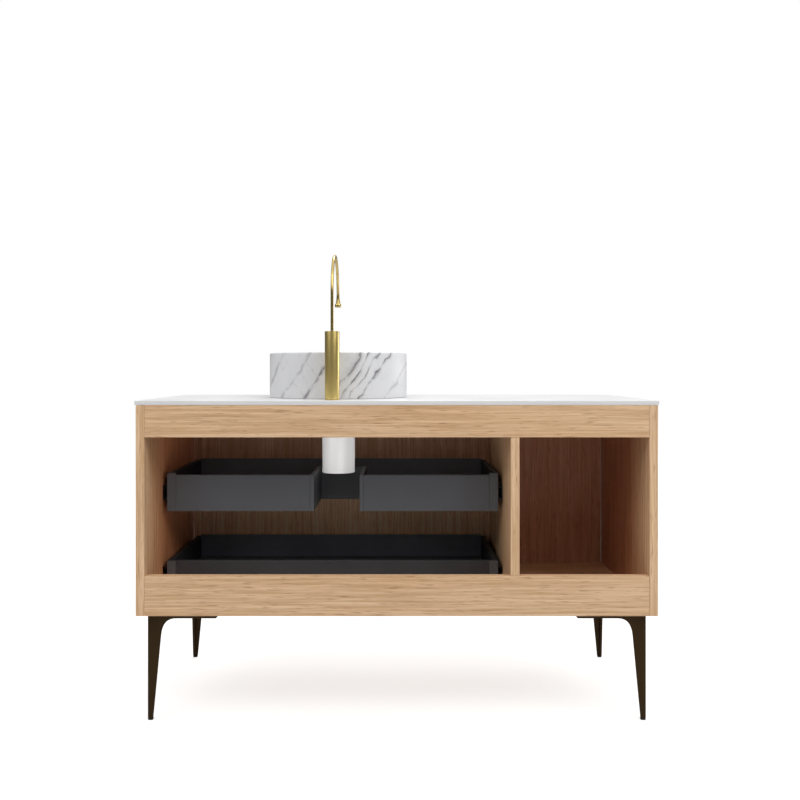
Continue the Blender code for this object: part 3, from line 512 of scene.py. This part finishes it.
basinLow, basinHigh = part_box("basin")
basinAxis = Vector(((basinLow.x + basinHigh.x) / 2, (basinLow.y + basinHigh.y) / 2, basinLow.z))
faucetLow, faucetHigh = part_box("faucet_shank")
faucetAxis = Vector(((faucetLow.x + faucetHigh.x) / 2, (faucetLow.y + faucetHigh.y) / 2, 0))

stone = makeStone()
marble = makeMarble(basinAxis)
gold = makeMetal("brushedGold", (0.780, 0.605, 0.225), (0.620, 0.470, 0.160), (0.31, 0.35),
                 strength=0.03, lines=0.15)
sleekGold = makeMetal("sleekGold", (0.700, 0.530, 0.200), (0.560, 0.420, 0.150), (0.19, 0.25),
                      strength=0.02, lines=0.10)
zinc = makeMetal("zincSteel", (0.48, 0.48, 0.49), (0.30, 0.30, 0.32), (0.30, 0.45))
darkZinc = makeMetal("darkSlideSteel", (0.060, 0.060, 0.062), (0.035, 0.035, 0.037), (0.36, 0.48))

charcoalPaint = {
    # colour, worn colour
    "plain": ((0.108, 0.116, 0.133), (0.132, 0.141, 0.160)),
    # low is a darker copy of the plain colour: painted shade
    "low": ((0.052, 0.056, 0.066), (0.066, 0.070, 0.080)),
    # inner is a lighter copy of the plain colour: painted light
    "inner": ((0.155, 0.170, 0.210), (0.195, 0.212, 0.255)),
}
charcoalRough = (0.45, 0.58)
sideShadeLook = {"rough": (0.5, 0.6), "start": 0.001, "full": 0.003, "tint": (0.22, 0.22, 0.22)}
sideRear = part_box("upper_drawer_side_left")[1].y

charcoal = makeCoated("charcoalLacquer", *charcoalPaint["plain"], charcoalRough)
# a darker copy of the charcoal: painted shade on the lower drawer's rear panel
paintedShadeCharcoal = makeCoated("charcoalLacquerLow", *charcoalPaint["low"], charcoalRough)
# a lighter copy of the charcoal: painted light on the drawers' inner fronts
paintedLightCharcoal = makeCoated("charcoalLacquerInner", *charcoalPaint["inner"], charcoalRough)
# painted shade on the drawer sides, darker in front of their rear ends
paintedShadeSideCharcoal = makeCoated(
    "charcoalLacquerSide", *charcoalPaint["plain"], sideShadeLook["rough"],
    shade=(sideRear - sideShadeLook["start"], sideRear - sideShadeLook["full"], sideShadeLook["tint"]))
bronze = makeCoated("darkBronze", (0.046, 0.024, 0.007), (0.064, 0.036, 0.012), (0.40, 0.52),
                    fine=700.0, metallic=0.70)
whitePlastic = makeCoated("whitePlastic", (0.93, 0.93, 0.93), (0.90, 0.90, 0.90), (0.30, 0.40),
                          fine=500.0, bump=0.05)
nylon = makeCoated("greyNylon", (0.26, 0.26, 0.25), (0.21, 0.21, 0.20), (0.5, 0.62))
rubber = makeCoated("blackRubber", (0.022, 0.022, 0.022), (0.035, 0.035, 0.035), (0.72, 0.85))
print("materials")


# tools for making pieces

# distances in metres, angles in degrees
clean = {"merge": 0.00002, "flat": 1, "spinMerge": 0.000002, "level": 1e-7, "sharp": 28}


def addPiece(name, work, material, stands=(), body=None, smooth=0):
    mesh = bpy.data.meshes.new(name)
    work.to_mesh(mesh)
    work.free()
    if smooth:
        mesh.shade_smooth()
        mesh.set_sharp_from_angle(angle=math.radians(smooth))
    mesh.materials.append(material)
    piece = bpy.data.objects.new(name, mesh)
    bpy.context.scene.collection.objects.link(piece)
    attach(piece, body or frame["nodes"][stands[0]]["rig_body"])
    if stands:
        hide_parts(*stands)
    return piece


def pieceName(node):
    words = node.split("_")
    return words[0] + "".join(word.capitalize() for word in words[1:])


def easeEdges(work, ease, segments, angle):
    edges = [e for e in work.edges if e.is_manifold and e.calc_face_angle() > math.radians(angle)]
    bmesh.ops.bevel(work, geom=edges, offset=ease, offset_type="OFFSET", segments=segments,
                    profile=0.5, affect="EDGES", clamp_overlap=True, material=-1)


def easedCopy(node, material, ease, segments, smooth=0, angle=40):
    # the node's own solid with clean faces and softened edges
    work = bmesh.new()
    work.from_mesh(frame["nodes"][node].data)
    bmesh.ops.remove_doubles(work, verts=work.verts, dist=clean["merge"])
    bmesh.ops.dissolve_limit(work, angle_limit=math.radians(clean["flat"]),
                             verts=work.verts, edges=work.edges)
    easeEdges(work, ease, segments, angle)
    return addPiece(pieceName(node), work, material, stands=[node], smooth=smooth)


def turnedWork(profile, axisPlace, steps, ease=0.0, axis="Z"):
    # a closed profile of (radius, height) spun round an axis
    work = bmesh.new()
    points = [work.verts.new((radius, 0, height)) for radius, height in profile]
    edges = [work.edges.new((points[i - 1], points[i])) for i in range(len(points))
             if profile[i - 1][0] > 0 or profile[i][0] > 0]
    bmesh.ops.spin(work, geom=points + edges, cent=(0, 0, 0), axis=(0, 0, 1),
                   angle=math.tau, steps=steps, use_merge=True, use_duplicate=False)
    bmesh.ops.remove_doubles(work, verts=work.verts, dist=clean["spinMerge"])
    bmesh.ops.dissolve_degenerate(work, edges=work.edges, dist=clean["spinMerge"])
    bmesh.ops.recalc_face_normals(work, faces=work.faces)
    if ease:
        rings = [e for e in work.edges if e.is_manifold
                 and abs(e.verts[0].co.z - e.verts[1].co.z) < clean["level"]
                 and e.calc_face_angle() > math.radians(clean["sharp"])]
        bmesh.ops.bevel(work, geom=rings, offset=ease, offset_type="OFFSET", segments=3,
                        profile=0.5, affect="EDGES", clamp_overlap=True, material=-1)
    if axis == "Y":
        bmesh.ops.rotate(work, verts=work.verts, matrix=Matrix.Rotation(math.pi / 2, 3, "X"))
    bmesh.ops.translate(work, verts=work.verts, vec=axisPlace)
    return work


def arc(centre, radius, start, end, steps):
    turns = [math.radians(start + (end - start) * i / steps) for i in range(steps + 1)]
    return [(centre[0] + radius * math.cos(t), centre[1] + radius * math.sin(t)) for t in turns]


# oak cabinet and fronts

oakBoards = {
    # node: grain direction, shift of the pattern
    "side_panel_left": ("z", 0.0), "side_panel_right": ("z", 3.1), "divider_panel": ("z", 6.3),
    "bottom_panel": ("x", 9.2), "back_rail_top": ("x", 12.7), "back_rail_bottom": ("x", 15.4),
    "front_stretcher": ("x", 18.9), "door_panel": ("z", 21.5),
    "upper_drawer_front": ("z", 24.8), "lower_drawer_front": ("z", 24.8),
}
boardEdge = {"ease": 0.0008, "segments": 2}
paintedLightShadeDepth = {"start": 0.0012, "full": 0.0003}      # the painted shade and light lie just under the inner face
paintedLightShadeFaces = {
    # node: axis, outer side of the board along it (0 low, 1 high), tint of painted shade, painted light
    # where above one
    "side_panel_left": ("x", 0, (0.58, 0.40, 0.36)), "divider_panel": ("x", 1, (0.60, 0.44, 0.42)),
    "door_panel": ("y", 0, (0.72, 0.57, 0.57)), "side_panel_right": ("x", 1, (0.90, 0.54, 0.40)),
    "upper_drawer_front": ("y", 0, (0.88, 0.78, 0.84)),
    "lower_drawer_front": ("y", 0, (1.25, 1.25, 1.30)),
}


def paintedLightShadeFace(node):
    axis, side, tint = paintedLightShadeFaces[node]
    index = "xyz".index(axis)
    low, high = (corner[index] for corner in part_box(node))
    if side == 0:
        return axis, high - paintedLightShadeDepth["start"], high - paintedLightShadeDepth["full"], tint
    return axis, low + paintedLightShadeDepth["start"], low + paintedLightShadeDepth["full"], tint


for node, (along, shift) in oakBoards.items():
    # inner holds the painted inside shade and light for this board
    inner = paintedLightShadeFace(node) if node in paintedLightShadeFaces else None
    board = makeOak("oak_" + node, along, shift, inner)
    easedCopy(node, board, **boardEdge)
print("oak boards")


# counter

counterEdge = {"ease": 0.0012, "segments": 3}
easedCopy("counter_top", stone, **counterEdge)


# charcoal drawers

drawerEdge = {"ease": 0.0007, "segments": 2}
# lit and shaded copies of the charcoal: painted shade on the lower rear panel, painted light on the inner
# fronts
charcoalLightAndShade = {"lower_drawer_rear": paintedShadeCharcoal, "upper_drawer_inner_front": paintedLightCharcoal,
                 "lower_drawer_inner_front": paintedLightCharcoal}

for node, slotName in slotOf.items():
    if slotName == "charcoal_drawer":
        coat = paintedShadeSideCharcoal if "_drawer_side_" in node else charcoalLightAndShade.get(node, charcoal)
        easedCopy(node, coat, **drawerEdge)
print("drawers")


# legs and pads

legEdge = {"ease": 0.0014, "segments": 3, "smooth": 30, "angle": 30}
padEdge = {"ease": 0.0008, "segments": 2}

for end in ("front_left", "front_right", "rear_left", "rear_right"):
    easedCopy("leg_" + end, bronze, **legEdge)
    easedCopy("foot_pad_" + end, rubber, **padEdge)


# drawer slides and door pivots

slideEdge = {"ease": 0.0002, "segments": 1}
pivotEdge = {"ease": 0.0003, "segments": 2, "smooth": 35}

for node in slotOf:
    if "_slide_" in node:
        easedCopy(node, darkZinc, **slideEdge)
for end in ("bottom", "top"):
    easedCopy("door_pivot_" + end, zinc, **pivotEdge)
print("legs and slides")


# basin

def makeBasin():
    bowl = {"wall": 0.014, "floor": 0.020, "floorRise": 0.008, "fillet": 0.015, "rimRound": 0.0035,
            "footRound": 0.002, "steps": 192, "hole": 0.0228, "seatDrop": 0.0033, "flangeGap": 0.0003,
            "apron": 0.006, "apronRise": 0.0003, "dish": 0.075, "dishRise": 0.0028}
    radius = (basinHigh.x - basinLow.x) / 2
    height = basinHigh.z - basinLow.z
    inner = radius - bowl["wall"]
    drainLow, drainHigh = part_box("drain_body")
    flange = (drainHigh.x - drainLow.x) / 2 + bowl["flangeGap"]
    floor, fillet, foot, rim = bowl["floor"], bowl["fillet"], bowl["footRound"], bowl["rimRound"]
    seat = floor - bowl["seatDrop"]
    profile = [(bowl["hole"], 0.0)]
    profile += arc((radius - foot, foot), foot, -90, 0, 4)
    profile += arc((radius - rim, height - rim), rim, 0, 90, 6)
    profile += arc((inner + rim, height - rim), rim, 90, 180, 6)
    profile += arc((inner - fillet, floor + bowl["floorRise"] + fillet), fillet, 0, -86, 14)
    profile += [(bowl["dish"], floor + bowl["dishRise"]),
                (flange + bowl["apron"], floor + bowl["apronRise"]),
                (flange, floor), (flange, seat), (bowl["hole"], seat)]
    work = turnedWork(profile, basinAxis, bowl["steps"])
    addPiece("vesselBasin", work, marble, stands=["basin"], smooth=40)


makeBasin()


# faucet

def makeColumn():
    body = {"bore": 0.010, "neckGap": 0.0004, "neckDepth": 0.040, "edge": 0.0006, "steps": 128,
            "footHeight": 0.003, "groove": 0.0004}
    low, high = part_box("faucet_body")
    radius = (high.x - low.x) / 2
    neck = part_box("spout")[1].y - faucetAxis.y + body["neckGap"]
    shoulder = high.z - body["neckDepth"]
    foot = low.z + body["footHeight"]
    groove = body["groove"]
    profile = [(body["bore"], low.z), (radius, low.z), (radius, foot), (radius - groove, foot + groove),
               (radius, foot + 2 * groove), (radius, high.z), (neck, high.z), (neck, shoulder),
               (body["bore"], shoulder)]
    work = turnedWork(profile, faucetAxis, body["steps"], body["edge"])
    addPiece("faucetColumn", work, gold, stands=["faucet_body"], smooth=40)


def makeLeverBoss():
    boss = {"radius": 0.0125, "start": 0.0135, "edge": 0.0005, "steps": 64}
    low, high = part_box("faucet_body")
    end = high.y - low.y - (high.x - low.x) / 2
    hubLow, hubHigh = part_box("lever_hub")
    place = faucetAxis + Vector((0, 0, (hubLow.z + hubHigh.z) / 2))
    profile = [(0.0, boss["start"]), (boss["radius"], boss["start"]), (boss["radius"], end), (0.0, end)]
    work = turnedWork(profile, place, boss["steps"], boss["edge"], axis="Y")
    addPiece("leverBoss", work, gold, body="vanity", smooth=40)


makeColumn()
makeLeverBoss()
print("basin and faucet body")


def makeSpout():
    low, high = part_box("spout")
    tube = {"radius": high.y - faucetAxis.y, "nozzle": 0.0085, "flare": 0.037, "lip": 0.0013,
            "recess": 0.007, "bead": 0.009, "beadTop": 0.0064, "beadTurns": (0.84, 0.80),
            "endDrop": 0.019, "riseSteps": 12, "arcSteps": 96, "dropSteps": 38, "sides": 48,
            "edge": 0.00025, "lipAngle": 0.9, "lipBand": 0.0005}
    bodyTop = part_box("faucet_body")[1].z
    bend = (high.y - tube["radius"] - low.y - tube["nozzle"]) / 2
    bendZ = high.z - tube["radius"] - bend
    root = Vector((faucetAxis.x, faucetAxis.y, low.z))
    end = Vector((root.x, root.y - 2 * bend, bendZ - tube["endDrop"]))
    hub = Vector((root.x, root.y - bend, bendZ))
    work = bmesh.new()
    bmesh.ops.create_circle(work, cap_ends=True, segments=tube["sides"], radius=tube["radius"],
                            matrix=Matrix.Translation(root))
    state = {"ring": work.edges[:], "radius": tube["radius"], "centre": root.copy()}

    def extend(move, radius):
        made = bmesh.ops.extrude_edge_only(work, edges=state["ring"])["geom"]
        verts = [g for g in made if isinstance(g, bmesh.types.BMVert)]
        fresh = set(verts)
        state["ring"] = [g for g in made if isinstance(g, bmesh.types.BMEdge)
                         and g.verts[0] in fresh and g.verts[1] in fresh]
        state["centre"] = move @ state["centre"]
        around = Matrix.Translation(state["centre"])
        grow = around @ Matrix.Scale(radius / state["radius"], 4) @ around.inverted()
        bmesh.ops.transform(work, matrix=grow @ move, verts=verts)
        state["radius"] = radius

    def radiusAt(left):
        # a rounded bead at the tip, and a trumpet flare above it
        if left < tube["bead"]:
            tip, sweep = tube["beadTurns"]
            bulge = math.sin(math.pi * (tip - sweep * left / tube["bead"]))
            return tube["beadTop"] + (tube["nozzle"] - tube["beadTop"]) * math.sqrt(bulge)
        opening = max(0.0, 1.0 - (left - tube["bead"]) / (tube["flare"] - tube["bead"]))
        return tube["radius"] + (tube["beadTop"] - tube["radius"]) * opening ** 2

    extend(Matrix.Translation((0, 0, bodyTop - low.z)), tube["radius"])
    for step in range(tube["riseSteps"]):
        extend(Matrix.Translation((0, 0, (bendZ - bodyTop) / tube["riseSteps"])), tube["radius"])
    swing = math.pi / tube["arcSteps"]
    toHub = Matrix.Translation(hub)
    turn = toHub @ Matrix.Rotation(swing, 4, "X") @ toHub.inverted()
    for step in range(1, tube["arcSteps"] + 1):
        extend(turn, radiusAt(tube["endDrop"] + bend * (math.pi - swing * step)))
    fall = tube["endDrop"] / tube["dropSteps"]
    for step in range(1, tube["dropSteps"] + 1):
        extend(Matrix.Translation((0, 0, -fall)), radiusAt(tube["endDrop"] - fall * step))
    extend(Matrix.Identity(4), tube["nozzle"] - tube["lip"])
    extend(Matrix.Translation((0, 0, tube["recess"])), tube["nozzle"] - tube["lip"])
    bmesh.ops.contextual_create(work, geom=state["ring"])
    bmesh.ops.recalc_face_normals(work, faces=work.faces)
    lips = [e for e in work.edges if e.is_manifold and e.calc_face_angle() > tube["lipAngle"]
            and abs((e.verts[0].co.z + e.verts[1].co.z) / 2 - end.z) < tube["lipBand"]]
    bmesh.ops.bevel(work, geom=lips, offset=tube["edge"], offset_type="OFFSET", segments=3,
                    profile=0.5, affect="EDGES", clamp_overlap=True, material=-1)
    addPiece("gooseneckTube", work, sleekGold, stands=["spout"], smooth=40)
    return end


def makeAerator(end):
    face = {"step": 0.0011, "groove": 0.0006, "edge": 0.0006, "steps": 64}
    low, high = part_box("spout_aerator")
    radius = (high.x - low.x) / 2
    profile = [(0.0, high.z), (radius, high.z), (radius, low.z), (radius - face["edge"], low.z)]
    at = radius - face["edge"]
    while at > 2 * face["step"]:
        profile += [(at, low.z + face["groove"]), (at - face["step"] / 2, low.z + face["groove"]),
                    (at - face["step"] / 2, low.z), (at - face["step"], low.z)]
        at -= face["step"]
    profile.append((0.0, low.z))
    work = turnedWork(profile, Vector((end.x, end.y, 0)), face["steps"])
    addPiece("aeratorInsert", work, nylon, stands=["spout_aerator"], smooth=30)


def threadProfile(radius, low, high, pitch, depth):
    # from high to low, ridges at the full radius
    points = []
    for i in range(int((high - low) / pitch)):
        top = high - i * pitch
        points += [(radius - depth, top), (radius, top - pitch * 0.4), (radius, top - pitch * 0.6)]
    return points + [(radius - depth, low)]


def makeShank():
    shank = {"bore": 0.0110, "taper": 0.0008, "point": 0.0012, "shoulder": 0.0002, "steps": 96}
    thread = {"pitch": 0.0015, "depth": 0.0006}
    nutEdge = {"ease": 0.0009, "segments": 3, "smooth": 30, "angle": 35}
    low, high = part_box("faucet_shank")
    radius = (high.x - low.x) / 2
    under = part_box("counter_top")[0].z
    profile = [(shank["bore"], high.z), (radius, high.z), (radius, under)]
    profile += threadProfile(radius, low.z + shank["taper"], under - shank["shoulder"], **thread)
    profile += [(radius - shank["point"], low.z), (shank["bore"], low.z)]
    work = turnedWork(profile, faucetAxis, shank["steps"])
    addPiece("faucetShank", work, zinc, stands=["faucet_shank"], smooth=28)
    easedCopy("faucet_nut", zinc, **nutEdge)


def makeLever():
    stick = {"roundSteps": 10, "steps": 56}
    hubEdge = {"ease": 0.0004, "segments": 2, "smooth": 35, "angle": 35}
    pinEdge = {"ease": 0.0002, "segments": 2, "smooth": 35, "angle": 35}
    low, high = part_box("lever_handle")
    radius = (high.x - low.x) / 2
    length = high.y - low.y
    profile = arc((0.0, radius), radius, -90, 0, stick["roundSteps"])
    profile += arc((0.0, length - radius), radius, 0, 90, stick["roundSteps"])
    place = Vector(((low.x + high.x) / 2, high.y, (low.z + high.z) / 2))
    work = turnedWork(profile, place, stick["steps"], axis="Y")
    addPiece("leverHandle", work, gold, stands=["lever_handle"], smooth=40)
    easedCopy("lever_hub", gold, **hubEdge)
    easedCopy("lever_pin", zinc, **pinEdge)


spoutEnd = makeSpout()
makeAerator(spoutEnd)
makeShank()
makeLever()
print("spout and lever")


# drain, pipe and shroud

drainAxis = Vector((basinAxis.x, basinAxis.y, 0))


def makeDrainBody():
    drain = {"bore": 0.0165, "neck": 0.0220, "flange": 0.0030, "seat": 0.0016, "seatWidth": 0.0075,
             "lipWidth": 0.0055, "edge": 0.0008, "point": 0.0014, "taper": 0.0008, "shoulder": 0.0005,
             "steps": 128}
    thread = {"pitch": 0.0018, "depth": 0.0007}
    low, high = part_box("drain_body")
    rim = (high.x - low.x) / 2
    seat = high.z - drain["seat"]
    edge = drain["edge"]
    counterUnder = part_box("counter_top")[0].z
    profile = [(drain["bore"], seat), (rim - drain["seatWidth"], seat), (rim - drain["lipWidth"], high.z)]
    profile += arc((rim - edge, high.z - edge), edge, 90, 0, 4)
    profile += [(rim, high.z - drain["flange"]), (drain["neck"], high.z - drain["flange"])]
    profile += threadProfile(drain["neck"], low.z + drain["taper"], counterUnder - drain["shoulder"],
                             **thread)
    profile += [(drain["neck"] - drain["point"], low.z), (drain["bore"], low.z)]
    work = turnedWork(profile, drainAxis, drain["steps"])
    addPiece("drainBody", work, gold, stands=["drain_body"], smooth=28)


def makeStopper():
    stopper = {"cap": 0.0040, "stem": 0.0040, "tip": 0.0005, "rings": (0.006, 0.010),
               "ringWidth": 0.0020, "ringDepth": 0.0008, "ringSlope": 0.0002, "under": 0.0010,
               "rimInset": 0.0002, "rim": (0.0004, 0.0010, 0.0017), "domeInset": 0.0008,
               "dome": 0.0020, "domeSteps": 12, "steps": 128}
    low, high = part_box("drain_stopper")
    radius = (high.x - low.x) / 2
    stem, tip = stopper["stem"], stopper["tip"]
    waist = stem - stopper["ringDepth"]
    under = high.z - stopper["cap"]
    profile = [(0.0, low.z), (stem - tip, low.z), (stem, low.z + tip)]
    for ring in stopper["rings"]:
        start, end = low.z + ring, low.z + ring + stopper["ringWidth"]
        profile += [(stem, start), (waist, start + stopper["ringSlope"]),
                    (waist, end - stopper["ringSlope"]), (stem, end)]
    profile += [(stem, under), (radius - stopper["under"], under)]
    for rise, inset in zip(stopper["rim"], (stopper["rimInset"], 0.0, stopper["rimInset"])):
        profile.append((radius - inset, under + rise))
    for i in range(1, stopper["domeSteps"] + 1):
        reach = 1 - i / stopper["domeSteps"]
        rise = stopper["dome"] * (1 + math.sqrt(1 - reach ** 2))
        profile.append(((radius - stopper["domeInset"]) * reach, under + rise))
    work = turnedWork(profile, drainAxis, stopper["steps"])
    addPiece("drainStopper", work, gold, stands=["drain_stopper"], smooth=50)


def makeDrainRings():
    rings = {
        # node: material, wall, edge
        "drain_gasket": (rubber, None, 0.0008), "drain_tailpiece": (zinc, 0.002, 0.0004),
        "drain_shroud": (whitePlastic, 0.003, 0.0006),
    }
    gasketBore = 0.0224
    steps = 128
    nutEdge = {"ease": 0.0010, "segments": 3, "smooth": 30, "angle": 35}
    for node, (material, wall, edge) in rings.items():
        low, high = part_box(node)
        outer = (high.x - low.x) / 2
        inner = outer - wall if wall else gasketBore
        profile = [(inner, high.z), (outer, high.z), (outer, low.z), (inner, low.z)]
        work = turnedWork(profile, drainAxis, steps, edge)
        addPiece(pieceName(node), work, material, stands=[node], smooth=40)
    easedCopy("drain_nut", zinc, **nutEdge)


makeDrainBody()
makeStopper()
makeDrainRings()
makePipeLamps()
print("drain")
